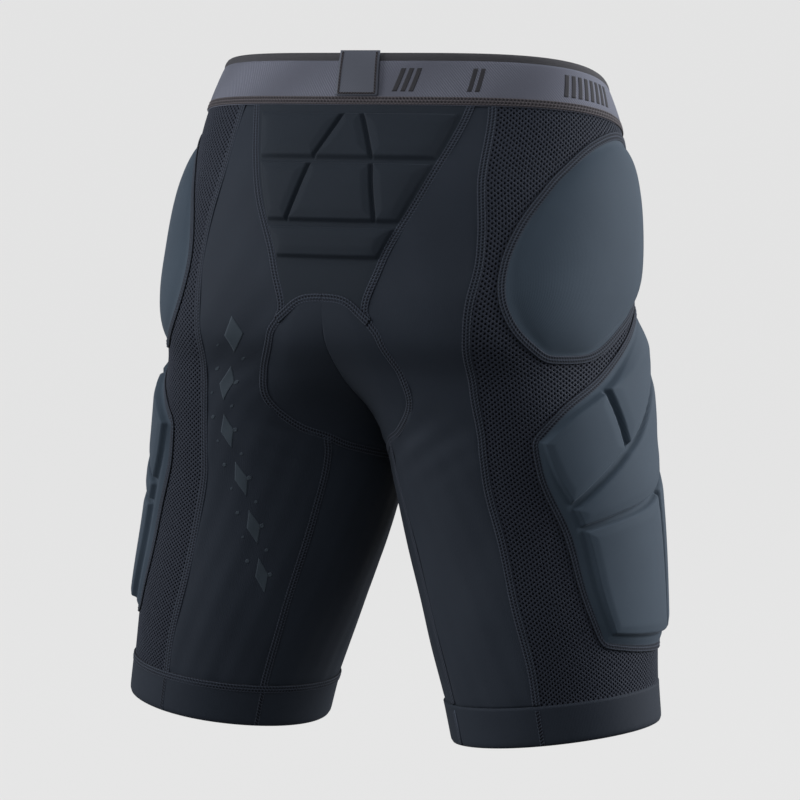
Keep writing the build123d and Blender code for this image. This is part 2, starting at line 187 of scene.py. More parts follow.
def body(angle, height):
    """Point of the left half of the body surface."""
    turn = np.radians(np.asarray(angle, float))
    height = np.asarray(height, float)
    centre, width, centre_y, front, rear, full = section(height)
    c, s = np.cos(turn), np.sin(turn)
    x = centre + width * c
    depth = np.where(s > 0, rear, front)
    cheek = np.where(s > 0, full, 0.35 * full)
    y = centre_y + depth * s + 4 * cheek * np.sign(s) * np.clip(c, 0, 1)**2 * s**2
    fade = np.clip((FADE_HEIGHT + height) / FADE_HEIGHT, 0, 1)**1.5
    z = height + REAR_RISE * fade - FRONT_DROP * fade * (1 - s)**2 / 4
    z = z - BAND_DROP * ramp((height - BAND_DROP_END + BAND_FADE) / BAND_FADE) * (1 - s)**2 / 4
    tilt = np.clip((TILT_START - height) / TILT_LENGTH, 0, 1)
    z = z + tilt * LEG_TILT * (x - centre)
    return np.stack(np.broadcast_arrays(x, y, z), -1)


def outward(angle, height):
    """Unit normal of the left half of the body surface."""
    angle, height = np.broadcast_arrays(np.asarray(angle, float), np.asarray(height, float))
    across = body(angle + 0.2, height) - body(angle - 0.2, height)
    up = body(angle, height + 0.5) - body(angle, height - 0.5)
    normal = np.cross(across, up)
    return normal / np.linalg.norm(normal, axis=-1, keepdims=True)


def skin(angle, height, lift):
    """Left half of the body surface, pushed outwards by lift."""
    return body(angle, height) + outward(angle, height) * np.asarray(lift, float)[..., None]


def skin_around(turn, height, lift):
    """Whole body surface above the crotch: turn runs from the front, -90, to 270."""
    left = turn <= 90
    point = skin(np.where(left, turn, 180 - turn), height, lift)
    point[..., 0] *= np.where(left, 1.0, -1.0)
    return point


def mirror_left_of(lean):
    """Factors that mirror the points with a negative lean to the other side."""
    return np.where(lean < 0, -1.0, 1.0)[..., None] * [1, 0, 0] + [0, 1, 1]


def apart(grid, gap=0.3):
    """Ease a left-hand grid off the mid plane."""
    x = grid[..., 0]
    grid[..., 0] = (x + np.sqrt(x**2 + 4 * gap**2)) / 2
    return grid


def seam(points):
    """Seam angle as a function of height."""
    angles, heights = zip(*points)
    return lambda h: smooth(h, heights, angles)


def curve(points, t):
    """Smooth (angle, height) line through the points, t from 0 to 1."""
    points = np.asarray(points, float)
    knots = np.linspace(0, 1, len(points))
    return np.stack([smooth(t, knots, points[:, 0]), smooth(t, knots, points[:, 1])], -1)


def patch(outlines, s, t):
    """Angles and heights inside four outlines, s from front to rear, t downwards."""
    top, rear, bottom, front = outlines
    a, b = curve(top, s), curve(bottom, s)
    c, d = curve(front, t), curve(rear, t)
    s, t = s[..., None], t[..., None]
    corner = [np.asarray(p, float) for p in (top[0], top[-1], bottom[0], bottom[-1])]
    mix = ((1 - s) * (1 - t) * corner[0] + s * (1 - t) * corner[1]
           + (1 - s) * t * corner[2] + s * t * corner[3])
    grid = (1 - t) * a + t * b + (1 - s) * c + s * d - mix
    return grid[..., 0], grid[..., 1]


def square(across, down):
    """Two grids of shares from 0 to 1."""
    return np.meshgrid(np.linspace(0, 1, across), np.linspace(0, 1, down), indexing="ij")


def between(edge_a, edge_b, top, bottom, across, down):
    """Angles and heights between two seams."""
    s, height = np.meshgrid(np.linspace(0, 1, across), np.linspace(top, bottom, down),
                            indexing="ij")
    return (1 - s) * edge_a(height) + s * edge_b(height), height


def outline_of(outlines, count):
    """Closed (angle, height) outline of a pad, front side down, then rear side up."""
    top, rear, bottom, front = [curve(side, np.linspace(0, 1, count)) for side in outlines]
    return np.concatenate([top[:-1], rear[:-1], bottom[::-1][:-1], front[::-1][:-1]])


def inside(points, polygon):
    """Whether each point lies in a closed polygon."""
    x, y = points[..., 0], points[..., 1]
    found = np.zeros(x.shape, bool)
    for (x0, y0), (x1, y1) in zip(polygon, np.roll(polygon, -1, axis=0)):
        if y0 != y1:
            crosses = ((y0 > y) != (y1 > y)) & (x < (x1 - x0) * (y - y0) / (y1 - y0) + x0)
            found ^= crosses
    return found


def depth_in(points, polygon):
    """Distance from each point in to the polygon's edge, negative outside it."""
    polygon = np.asarray(polygon, float)
    nearest = np.full(points.shape[:-1], 1e9)
    for p, q in zip(polygon, np.roll(polygon, -1, axis=0)):
        t = np.clip(((points - p) @ (q - p)) / ((q - p) @ (q - p)), 0, 1)
        nearest = np.minimum(nearest, np.linalg.norm(points - p - t[..., None] * (q - p), axis=-1))
    return np.where(inside(points, polygon), nearest, -nearest)


# ---------------------------------------------------------------- materials
def linear(red, green, blue):
    """Screen colour, 0 to 255, as a linear colour."""
    return tuple(((v / 255 + 0.055) / 1.055)**2.4 for v in (red, green, blue)) + (1.0,)


class Nodes:
    """Small helper that adds and links shader nodes."""

    def __init__(self, name):
        self.material = bpy.data.materials.new(name)
        self.material.use_nodes = True
        self.tree = self.material.node_tree
        self.shader = self.tree.nodes["Principled BSDF"]

    def add(self, kind, inputs=None, **settings):
        node = self.tree.nodes.new(kind)
        for key, value in settings.items():
            setattr(node, key, value)
        for key, value in (inputs or {}).items():
            if isinstance(value, bpy.types.NodeSocket):
                self.tree.links.new(value, node.inputs[key])
            else:
                node.inputs[key].default_value = value
        return node

    def link(self, socket, name):
        self.tree.links.new(socket, self.shader.inputs[name])

    def maths(self, operation, a, b=0.0):
        return self.add("ShaderNodeMath", {0: a, 1: b}, operation=operation).outputs[0]

    def blend(self, factor, a, b):
        node = self.add("ShaderNodeMix", {0: factor, 6: a, 7: b}, data_type="RGBA")
        return node.outputs[2]

    def metric(self, across, along, turn=0.0):
        """The flat fabric's own coordinates, divided by a pitch in millimetres."""
        flat = self.add("ShaderNodeUVMap").outputs[0]
        turned = self.add("ShaderNodeVectorRotate", {0: flat, "Angle": turn},
                          rotation_type="Z_AXIS").outputs[0]
        return self.add("ShaderNodeVectorMath", {0: turned, 1: (1 / (across * MM), 1 / (along * MM), 1)},
                        operation="MULTIPLY").outputs[0]

    def stripes(self, vector, axis):
        """A wave of one period for each unit of the vector, from 0 to 1."""
        return self.add("ShaderNodeTexWave", {0: vector, "Scale": 1 / math.pi},
                        wave_type="BANDS", bands_direction=axis, wave_profile="SIN").outputs[1]


def fabric(name, colour, light, roughness=0.78, sheen=0.04, weave=(1.1, 0.8), turn=0.0,
           bump=0.25, mottle=0.5):
    """Knitted or woven cloth: fine ribs both ways, uneven dye, fuzz and a soft sheen."""
    n = Nodes(name)
    flat = n.metric(weave[0], weave[1], turn)
    ribs = n.maths("MULTIPLY", n.stripes(flat, "X"), n.stripes(flat, "Y"))
    place = n.add("ShaderNodeTexCoord").outputs["Object"]
    cloud = n.add("ShaderNodeTexNoise", {0: place, "Scale": 22.0, "Detail": 4.0}).outputs[0]
    fuzz = n.add("ShaderNodeTexNoise", {0: place, "Scale": 2600.0, "Detail": 2.0}).outputs[0]
    tone = n.maths("ADD", n.maths("MULTIPLY", cloud, mottle),
                   n.maths("MULTIPLY", n.maths("ADD", ribs, fuzz), (1 - mottle) / 2))
    n.link(n.blend(tone, colour, light), "Base Color")
    rough = n.maths("ADD", n.maths("MULTIPLY", fuzz, 0.18), roughness - 0.09)
    n.link(rough, "Roughness")
    height = n.maths("ADD", ribs, n.maths("MULTIPLY", fuzz, 0.6))
    n.link(n.add("ShaderNodeBump", {"Height": height, "Strength": bump, "Distance": 0.0003}
                 ).outputs[0], "Normal")
    n.shader.inputs["Sheen Weight"].default_value = sheen
    n.shader.inputs["Sheen Roughness"].default_value = 0.4
    n.shader.inputs["Sheen Tint"].default_value = (0.75, 0.85, 1.0, 1.0)
    n.shader.inputs["Specular IOR Level"].default_value = 0.14
    return n.material


def thread(name, dark, light):
    """Stitched strip: the raised threads show the thread's own light colour, and the dark in the gaps between
    them is painted shade.
    """
    n = Nodes(name)
    raised = n.add("ShaderNodeAttribute", attribute_name="raised").outputs["Fac"]
    place = n.add("ShaderNodeTexCoord").outputs["Object"]
    fuzz = n.add("ShaderNodeTexNoise", {0: place, "Scale": 1800.0, "Detail": 3.0}).outputs[0]
    # tone follows the stitch height: the dark colour in the low gaps is painted shade
    tone = n.maths("MULTIPLY", raised, n.maths("ADD", fuzz, 0.45))
    n.link(n.blend(tone, dark, light), "Base Color")
    n.link(n.maths("SUBTRACT", 0.92, n.maths("MULTIPLY", raised, 0.22)), "Roughness")
    n.link(n.add("ShaderNodeBump", {"Height": fuzz, "Strength": 0.35, "Distance": 0.0003}
                 ).outputs[0], "Normal")
    n.shader.inputs["Sheen Weight"].default_value = 0.03
    n.shader.inputs["Specular IOR Level"].default_value = 0.12
    return n.material


def foam(name, dark, light):
    """Perforated soft foam with a fine open grain."""
    n = Nodes(name)
    place = n.add("ShaderNodeTexCoord").outputs["Object"]
    grain = n.add("ShaderNodeTexVoronoi", {0: place, "Scale": 700.0}).outputs[0]
    n.link(n.blend(grain, dark, light), "Base Color")
    n.link(n.add("ShaderNodeBump", {"Height": grain, "Strength": 0.3, "Distance": 0.0004}
                 ).outputs[0], "Normal")
    n.shader.inputs["Roughness"].default_value = 0.9
    return n.material


KNIT = fabric("knit", linear(29, 34, 43), linear(38, 45, 55))
COVER = fabric("cover_knit", linear(42, 52, 63), linear(55, 67, 79), sheen=0.1)
YOKE = fabric("yoke_knit", linear(23, 29, 37), linear(32, 39, 48))
MESH = fabric("mesh_knit", linear(31, 35, 45), linear(45, 50, 61), weave=(0.7, 0.7), bump=0.4)
INSIDE = fabric("lining_knit", linear(16, 18, 24), linear(24, 27, 34))
HEM = fabric("hem_knit", linear(29, 34, 43), linear(38, 45, 55))
TWILL = fabric("band_twill", linear(62, 64, 74), linear(110, 113, 127), weave=(1.7, 60.0),
               turn=math.radians(38), bump=0.6, sheen=0.16, mottle=0.15)
EDGE = fabric("band_edge", linear(50, 50, 53), linear(70, 70, 75), weave=(1.0, 1.6), bump=0.5)
TAB = fabric("tab_webbing", linear(62, 65, 74), linear(94, 98, 109), weave=(1.5, 60.0),
             turn=math.radians(-38), bump=0.4, mottle=0.2)
MOTIF = fabric("band_motif", linear(42, 42, 46), linear(54, 54, 59), weave=(1.7, 60.0),
               turn=math.radians(38), bump=0.3)
PRINT = fabric("leg_print", linear(44, 52, 60), linear(58, 67, 76), bump=0.1)
# both thread materials have painted shade: their dark colour fills the gaps between the raised stitches
THREAD = thread("flatlock_thread", linear(11, 13, 19), linear(68, 76, 90))
BAND_THREAD = thread("band_thread", linear(26, 25, 28), linear(98, 94, 99))
FOAM = foam("pad_foam", linear(20, 22, 28), linear(38, 41, 48))


# ---------------------------------------------------------------- mesh builders
def make(name, points, faces, material, flat=None, raised=None):
    """Smooth-shaded mesh object from points in millimetres."""
    mesh = bpy.data.meshes.new(name)
    mesh.from_pydata(points * MM, [], faces)
    mesh.polygons.foreach_set("use_smooth", np.ones(len(mesh.polygons), bool))
    corner = np.zeros(len(mesh.loops), np.int32)
    mesh.loops.foreach_get("vertex_index", corner)
    flat = points[:, :2] if flat is None else flat
    mesh.uv_layers.new(name="flat").data.foreach_set("uv", (flat[corner] * MM).ravel())
    if raised is not None:
        values = mesh.attributes.new("raised", "FLOAT", "POINT")
        values.data.foreach_set("value", raised.astype(np.float32))
    mesh.materials.append(material)
    mesh.update()
    piece = bpy.data.objects.new(name, mesh)
    bpy.context.scene.collection.objects.link(piece)
    return piece


def quads(count_i, count_j, offset=0, wrap=False):
    """Four-sided faces of a grid, as an array of corner numbers."""
    i = np.arange(count_i if wrap else count_i - 1)[:, None]
    j = np.arange(count_j - 1)[None, :]
    k = (i + 1) % count_i
    corners = [i * count_j + j, i * count_j + j + 1, k * count_j + j + 1, k * count_j + j]
    return np.stack(np.broadcast_arrays(*corners), -1).reshape(-1, 4) + offset


def flat_of(grid):
    """Flat coordinates of a grid of points: distances along its two directions."""
    step_i = np.linalg.norm(np.diff(grid, axis=0), axis=-1).mean(1)
    step_j = np.linalg.norm(np.diff(grid, axis=1), axis=-1).mean(0)
    u = np.concatenate([[0], np.cumsum(step_i)])
    v = np.concatenate([[0], np.cumsum(step_j)])
    return np.stack(np.meshgrid(u, v, indexing="ij"), -1).reshape(-1, 2)


def shell(name, outer, inner, material, side=1, wrap=False, raised=None):
    """Closed piece of cloth between an outer and an inner grid of points."""
    count_i, count_j = outer.shape[:2]
    points = np.concatenate([outer.reshape(-1, 3), inner.reshape(-1, 3)]) * [side, 1, 1]
    half = count_i * count_j
    front = quads(count_i, count_j, 0, wrap)
    back = quads(count_i, count_j, half, wrap)[:, ::-1]
    loop_i = np.arange(count_i)
    loop_j = np.arange(count_j)
    rims = [loop_i * count_j, loop_i * count_j + count_j - 1]
    if not wrap:
        rims += [loop_j, (count_i - 1) * count_j + loop_j]
    walls = []
    for number, rim in enumerate(rims):
        ahead = np.roll(rim, -1) if wrap else rim[1:]
        rim = rim if wrap else rim[:-1]
        wall = np.stack([rim, ahead, ahead + half, rim + half], -1)
        walls.append(wall if number in (0, 3) else wall[:, ::-1])
    faces = np.concatenate([front, back] + walls)
    a, b, c = (points[front[:, k]] for k in range(3))
    facing = np.einsum("ij,ij->", np.cross(b - a, c - b), a - points[front[:, 0] + half])
    if facing < 0:
        faces = faces[:, ::-1]
    flat = np.tile(flat_of(outer), (2, 1))
    both = None if raised is None else np.concatenate([raised.ravel(), np.zeros(half)])
    return make(name, points, faces.tolist(), material, flat, both)


def edge_dip(count_i, count_j, step=2.5, depth=0.5):
    """How far a panel's outer face sinks at its rim, where it is sewn in."""
    i = np.minimum(np.arange(count_i), np.arange(count_i)[::-1])[:, None]
    j = np.minimum(np.arange(count_j), np.arange(count_j)[::-1])[None, :]
    return depth * (1 - ramp(np.minimum(i, j) / step))


def creases(angle, height):
    """Slight unevenness of stretched knit, in millimetres."""
    broad = 0.35 * np.sin(angle * 0.21 + height * 0.033) * np.sin(height * 0.047 - angle * 0.05)
    fine = 0.14 * np.sin(angle * 0.53 - height * 0.081)
    crotch = np.exp(-((height + 262) / 26)**2) * np.exp(-((angle - 118) / 30)**2)
    return broad + fine + 0.5 * crotch * np.sin(0.33 * (height + 0.9 * angle))


def strip(name, centre, normal, width, low, material, side=1, wrap=False, rows=3, pitch=2.4):
    """Flatlock seam lying on the cloth: raised needle rows joined by slanting threads."""
    along = (np.roll(centre, -1, 0) - np.roll(centre, 1, 0)) if wrap else np.gradient(centre, axis=0)
    along /= np.linalg.norm(along, axis=-1, keepdims=True)
    across = np.cross(along, normal)
    across /= np.linalg.norm(across, axis=-1, keepdims=True)
    u = np.linspace(-1, 1, 15)
    distance = np.concatenate([[0], np.cumsum(np.linalg.norm(np.diff(centre, axis=0), axis=-1))])
    phase = 2 * np.pi * distance[:, None] / pitch
    needle = np.zeros((len(centre), len(u)))
    for k, row in enumerate(np.linspace(-0.78, 0.78, rows)):
        needle = np.maximum(needle, np.exp(-((u - row) / 0.13)**2) * (0.65 + 0.35 * np.cos(phase + 2 * k)))
    cross = 0.55 * np.clip(np.cos(phase + u * 3.2), 0, 1)
    # raised sets the stitch height and also the thread colour, so the low gaps get painted shade
    raised = np.maximum(needle, cross * (1 - u**6))
    lift = low + 0.45 + 0.6 * raised * (1 - u**8) - 0.45 * u**10
    base = centre[:, None] + across[:, None] * (u[:, None] * width / 2)
    outer = base + normal[:, None] * lift[..., None]
    inner = base + normal[:, None] * (low - 0.5)
    return shell(name, outer, inner, material, side, wrap, raised)


def path_on(points, step=0.8):
    """Evenly spaced (angle, height) points along a line, about step millimetres apart."""
    fine = curve(points, np.linspace(0, 1, 600))
    where = body(fine[:, 0], fine[:, 1])
    length = np.concatenate([[0], np.cumsum(np.linalg.norm(np.diff(where, axis=0), axis=-1))])
    even = np.linspace(0, length[-1], max(int(length[-1] / step), 8))
    return np.interp(even, length, fine[:, 0]), np.interp(even, length, fine[:, 1])


# ---------------------------------------------------------------- how pieces ride
def centre_piece(piece, slot, *nodes):
    """Piece that stays with the shorts' body."""
    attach(piece, "shorts_body")
    if nodes:
        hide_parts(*nodes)
    return piece


def side_piece(piece, side, slot, *nodes):
    """Piece whose placement is baked into its points, with the given parts of its side hidden."""
    word = "left" if side > 0 else "right"
    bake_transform(piece)
    if nodes:
        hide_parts(*[f"{n}_{word}" for n in nodes])
    return piece


SIDES = (("left", 1), ("right", -1))



def stitched(name, side, angle, height, low, *nodes, width=SEAM_WIDTH, wrap=False, rows=3):
    """Flatlock seam along a line on one half of the body, low above its surface."""
    piece = strip(name, body(angle, height), outward(angle, height), width, low, THREAD, side, wrap, rows)
    return side_piece(piece, side, "seam_thread", *nodes)


# ---------------------------------------------------------------- stretch panels
saddle_rear_edge = seam(YOKE_SEAM + SADDLE_REAR + INSEAM_REAR)
side_rear_edge = seam(SIDE_REAR)
side_front_edge = seam([(a + 360, h) for a, h in SIDE_FRONT])
front_edge = seam(FRONT_SEAM + SADDLE_FRONT + INSEAM_FRONT)


def panel(name, angle, height, held_by, *nodes):
    """Left and right stretch panels over a grid of angles and heights; held_by is not used."""
    dip = edge_dip(*angle.shape) - creases(angle, height)
    outer = apart(skin(angle, height, FABRIC - dip))
    inner = apart(skin(angle, height, 0))
    for word, side in SIDES:
        piece = side_piece(shell(f"{name}_{word}", outer, inner, KNIT, side), side, "stretch_fabric",
                           *nodes)


panel("seat_cloth", *between(side_rear_edge, saddle_rear_edge, WAIST_BOTTOM, HEM_TOP, 49, 141),
      "waist_band", "seat_panel_hip", "seat_panel_thigh")
panel("front_cloth", *between(front_edge, side_front_edge, WAIST_BOTTOM, HEM_TOP, 49, 121),
      "waist_band", "front_panel_hip", "front_panel_thigh")

s, t = square(49, 61)
rear_edge = seam(SADDLE_REAR + INSEAM_REAR)
low_angles, low_heights = zip(*SADDLE_LOW)
top = smooth(low_angles[0] + (low_angles[-1] - low_angles[0]) * s, low_angles, low_heights)
height = top + (HEM_TOP - top) * t
angle = (1 - s) * rear_edge(height) + s * front_edge(height)
panel("inseam_cloth", angle, height, "seat_cloth_{}", "inner_thigh")


def saddle_grid(reach, count):
    """Saddle half, from the mid plane out to its edge, running from rear to front."""
    levels = [ARCH_TOP, -190, -215, -236, -255, -266, -270, -266, -255, -236, -216, -200, -184]
    rise = [(float(middle(h)) if k < 6 else 180.0 if k == 6 else 360 - float(middle(h)), h)
            for k, h in enumerate(levels)]
    outer = [(83, ARCH_FOOT)] + SADDLE_REAR + [(180, -285)] + SADDLE_FRONT[::-1] + [(272, -184)]
    t = np.linspace(0, 1, 121)
    a, b = curve(rise, t), curve(outer, t)
    s = np.linspace(0, reach, count)[:, None, None]
    grid = (1 - s) * a + s * b
    bulge = (ARCH_FOOT - ARCH_TOP) * (s[..., 0]**ARCH_BEND - s[..., 0])
    return grid[..., 0], grid[..., 1] + bulge * (1 - ramp(t / 0.12)), t


angle, height, along = saddle_grid(1.0, 25)
out = np.linspace(0, 1, 25)[:, None]
outer = skin(angle, height, FABRIC + 1.2 * ramp((1 - out) / 0.4) - 0.7 * ramp((out - 0.9) / 0.1))
inner = skin(angle, height, 0)
outer[0, :, 0] = inner[0, :, 0] = -0.5    # the halves lap over each other on the mid plane
for word, side in SIDES:
    piece = side_piece(shell(f"saddle_cloth_{word}", outer, inner, KNIT, side), side, "saddle_fabric",
                       "saddle")

# inner seat cushion, with two sewn channels
angle, height, along = saddle_grid(0.9, 21)
across = np.linspace(0, 1, 21)[:, None]
channel = np.exp(-((across - 0.45) / 0.05)**2) + np.exp(-((across - 0.8) / 0.05)**2)
depth = (2.0 + (SEAT_FOAM - 2.0) * ramp(along / 0.12) * ramp((1 - along) / 0.12))[None, :]
depth = 1.0 + (depth - 1.0) * (1 - 0.6 * channel) * ramp(across / 0.08) * ramp((1 - across) / 0.12)
face = apart(skin(angle, height, -CLEAR), 0.9)
inward = apart(skin(angle, height, -CLEAR - depth), 0.9)
for word, side in SIDES:
    piece = side_piece(shell(f"seat_cushion_{word}", inward[:, 3:-3], face[:, 3:-3], FOAM, side),
                       side, "seat_foam", "seat_pad")

# ---------------------------------------------------------------- side mesh
HOLE_ACROSS, HOLE_DOWN = 5.2, 3.3     # spacing of the holes in a row and in a column
HOLE_OPEN = 0.54                      # a hole's size as a share of its cell
MESH_COLUMNS = 54


def inset_outline(outlines, inset, count=30):
    """Closed (angle, height) outline a little inside a pad's own."""
    t = inset + (1 - 2 * inset) * np.linspace(0, 1, count)
    low, high = np.full(count, inset), np.full(count, 1 - inset)
    sides = [(t, low), (high, t), (t[::-1], high), (low, t[::-1])]
    return np.concatenate([np.stack(patch(outlines, s, t), -1)[:-1] for s, t in sides])


def mesh_cells(top, bottom):
    """Centres, as (share across, height), and corner offsets of the mesh's six-sided cells."""
    pitch, half = 1.0 / MESH_COLUMNS, HOLE_DOWN / 2
    tip = (0.25 + (half / HOLE_ACROSS)**2) * pitch
    neck = (0.25 - (half / HOLE_ACROSS)**2) * pitch
    corners = np.array([(tip, 0), (neck, half), (-neck, half), (-tip, 0), (-neck, -half), (neck, -half)])
    row, column = np.meshgrid(np.arange(int((top - bottom) / half) + 1), np.arange(MESH_COLUMNS + 1),
                              indexing="ij")
    centres = np.stack([(column + 0.5 * (row % 2)) * pitch, top - row * half], -1)
    return centres.reshape(-1, 2), corners


def mesh_place(point):
    """Angle and height of a point given as (share across the side mesh, height)."""
    front, rear = side_front_edge(point[..., 1]) - 360, side_rear_edge(point[..., 1])
    return np.stack([front + (rear - front) * point[..., 0], point[..., 1]], -1)


def perforated(name, top, bottom, side):
    """Side mesh with real holes, left out under the pads."""
    centres, corners = mesh_cells(top, bottom)
    place = mesh_place(centres)
    keep = (centres[:, 0] > 0) & (centres[:, 0] < 1)
    for outlines in (HIP, THIGH):
        keep &= ~inside(place, inset_outline(outlines, 0.05))
    centres = centres[keep]
    rim = centres[:, None] + corners
    rim[..., 0] = np.clip(rim[..., 0], 0, 1)
    rim[..., 1] = np.clip(rim[..., 1], bottom, top)
    turn = np.radians(np.arange(0, 360, 60))
    size = np.stack([np.cos(turn) * corners[0, 0], np.sin(turn) * HOLE_DOWN / 2], -1) * HOLE_OPEN
    whole = np.abs(rim - centres[:, None] - corners).max((1, 2)) < 1e-9
    key = np.round(rim.reshape(-1, 2) * [1e4, 1e2]).astype(np.int64)
    _, first, back = np.unique(key, axis=0, return_index=True, return_inverse=True)
    rim_points = rim.reshape(-1, 2)[first]
    back = back.reshape(-1, 6)
    holes = (centres[:, None] + size)[whole].reshape(-1, 2)
    flat_points = np.concatenate([rim_points, holes])
    count = len(flat_points)
    where = mesh_place(flat_points)
    sink = np.where(np.arange(count) < len(rim_points), 0.0, 0.25)
    outer = skin(where[:, 0], where[:, 1], FABRIC - sink)
    inner = skin(where[:, 0], where[:, 1], sink)
    points = np.concatenate([outer, inner]) * [side, 1, 1]
    n = len(rim_points) + np.arange(whole.sum())[:, None] * 6 + np.arange(6)
    n2 = np.roll(n, -1, axis=1)
    r, r2 = back[whole], np.roll(back[whole], -1, axis=1)
    front = np.stack([r, r2, n2, n], -1).reshape(-1, 4)
    wall = np.stack([n, n2, n2 + count, n + count], -1).reshape(-1, 4)
    faces = front.tolist() + (front[:, ::-1] + count).tolist() + wall.tolist()
    for cell in back[~whole]:
        ring = [int(v) for k, v in enumerate(cell) if v != cell[k - 1]]
        if len(set(ring)) == len(ring) and len(ring) > 2:
            faces += [ring, [v + count for v in ring[::-1]]]
    if side > 0:
        faces = [f[::-1] for f in faces]
    flat = np.tile(flat_points * [HOLE_ACROSS * MESH_COLUMNS, 1.0], (2, 1))
    return side_piece(make(name, points, faces, MESH, flat), side, "side_mesh",
                      "side_mesh_hip", "side_mesh_thigh")


SIDE_EDGES = (lambda h: side_front_edge(h) - 360, side_rear_edge)
grid = skin(*between(*SIDE_EDGES, WAIST_BOTTOM, HEM_TOP, 25, 49), 0)
lining = [skin(*between(*SIDE_EDGES, WAIST_BOTTOM, HEM_TOP, 41, 121), lift) for lift in (-0.4, -1.0)]
for word, side in SIDES:
    piece = side_piece(shell(f"side_lining_{word}", *lining, INSIDE, side), side, "lining")
    piece = perforated(f"mesh_side_{word}", WAIST_BOTTOM, HEM_TOP, side)


# ---------------------------------------------------------------- pads
HIP_FLANGE = 0.045                # width of the flange as a share of the hip pad


def hip_relief(s, t):
    """Smooth dome of the hip pad, with a flat flange around it."""
    u, v = [np.clip(np.abs(2 * k - 1) / (1 - 2 * HIP_FLANGE), 0, 1) for k in (s, t)]
    return (HIP_FOAM + 2.0) * ((1 - u**2.4) * (1 - v**2.2)).clip(0, 1)**0.74


def thigh_relief(s, t):
    """Flat foam cells of the thigh pad with grooves between them."""
    place = np.stack([s, t], -1) * THIGH_SIZE
    raised = np.zeros(s.shape)
    for cell in THIGH_CELLS:
        inset = depth_in(place, np.array(cell) * THIGH_SIZE)
        raised = np.maximum(raised, 0.82 * ramp((inset + 0.9) / 2.7) + 0.18 * ramp(inset / 10))
    rim = ramp(np.minimum(np.minimum(s, 1 - s) * THIGH_SIZE[0], np.minimum(t, 1 - t) * THIGH_SIZE[1]) / 9)
    wedge = ramp(t * THIGH_SIZE[1] / (9 + 45 * (1 - ramp(s / 0.6))))
    return rim * wedge * (2.2 + (THIGH_FOAM - 1.6) * raised)


def pad(name, outlines, relief, count, *nodes, fill):
    """Padded stretch cover of a pad on both sides, one closed piece over the pad's relief."""
    s, t = square(count, count)
    angle, height = patch(outlines, s, t)
    cover = skin(angle, height, FABRIC + CLEAR + 0.3 + relief(s, t))
    under = skin(angle, height, FABRIC + 0.2)
    for word, side in SIDES:
        piece = side_piece(shell(f"{name}_dome_{word}", cover, under, COVER, side), side, "pad_cover",
                           *nodes)


pad("hip_pad", HIP, hip_relief, 81, "hip_pad_cover", "hip_pad_foam", fill=0.9)
pad("thigh_pad", THIGH, thigh_relief, 201, "thigh_pad_cover",
    *[f"thigh_pad_{cell}" for cell in "abcde"], fill=0.8)

# ---------------------------------------------------------------- rear yoke
yoke_edge = seam(YOKE_SEAM + SADDLE_REAR)


def tail_relief(lean, level):
    """Foam cells over the tailbone with narrow grooves between them."""
    place = np.stack([lean * LEAN_MM, level], -1)
    raised = np.zeros(lean.shape)
    gap = 0.2
    for row, ((high, low), (edge_high, edge_low)) in enumerate(zip(TAIL_ROWS, TAIL_EDGE)):
        if row < len(TAIL_CUT):
            cut_high, cut_low = TAIL_CUT[row]
            cells = [[(-cut_high + gap, high), (cut_high - gap, high),
                      (cut_low - gap, low), (-cut_low + gap, low)]]
            for sign in (1, -1):
                cells.append([(sign * (cut_high + gap), high), (sign * edge_high, high),
                              (sign * edge_low, low), (sign * (cut_low + gap), low)])
        else:
            cells = [[(-edge_high, high), (edge_high, high), (edge_low, low), (-edge_low, low)]]
        for cell in cells:
            inset = depth_in(place, np.array(cell) * [LEAN_MM, 1])
            raised = np.maximum(raised, 0.75 * ramp((inset + 0.7) / 2.4) + 0.25 * ramp(inset / 8))
    return raised


u, v = np.meshgrid(np.linspace(-1, 1, 221), np.linspace(0, 1, 181), indexing="ij")
level = WAIST_BOTTOM + v * (ARCH_TOP + (ARCH_FOOT - ARCH_TOP) * np.abs(u)**ARCH_BEND - WAIST_BOTTOM)
lean = u * (middle(level) - yoke_edge(level))
angle = middle(level) - np.abs(lean)
raised = tail_relief(lean, level)
edge = 1 - np.abs(u)**10
outer = skin(angle, level, FABRIC + (0.6 + TAIL_FOAM * raised) * edge) * mirror_left_of(lean)
inner = skin(angle, level, 0.2) * mirror_left_of(lean)
piece = shell("rear_yoke_cover", outer, inner, YOKE)
centre_piece(piece, "pad_cover", "rear_yoke", "rear_yoke_lining", "tail_pad_1_middle", "tail_pad_1_left",
             "tail_pad_1_right", "tail_pad_2_middle", "tail_pad_2_left", "tail_pad_2_right", "tail_pad_3")

# front pouch
u, level = np.meshgrid(np.linspace(-1, 1, 41), np.linspace(WAIST_BOTTOM, POUCH_BOTTOM, 61), indexing="ij")
centre_angle = 360 - middle(level)
angle = centre_angle + np.abs(u) * (front_edge(level) - centre_angle)
outer = skin(angle, level, FABRIC - edge_dip(*u.shape)) * mirror_left_of(u)
inner = skin(angle, level, 0) * mirror_left_of(u)
piece = centre_piece(shell("front_pouch_cloth", outer, inner, KNIT), "stretch_fabric", "front_pouch")


# ---------------------------------------------------------------- waistband
turn, level = np.meshgrid(-90 + 360 * np.arange(220) / 220,
                          np.linspace(-BINDING + 1, WAIST_BOTTOM - 1, 13), indexing="ij")
share = np.linspace(-1, 1, 13)[None, :]
outer = skin_around(turn, level, BAND + 0.5 * (1 - share**4))
inner = skin_around(turn, level, 0)
piece = centre_piece(shell("waist_band", outer, inner, TWILL, wrap=True), "waistband_elastic", "waistband")

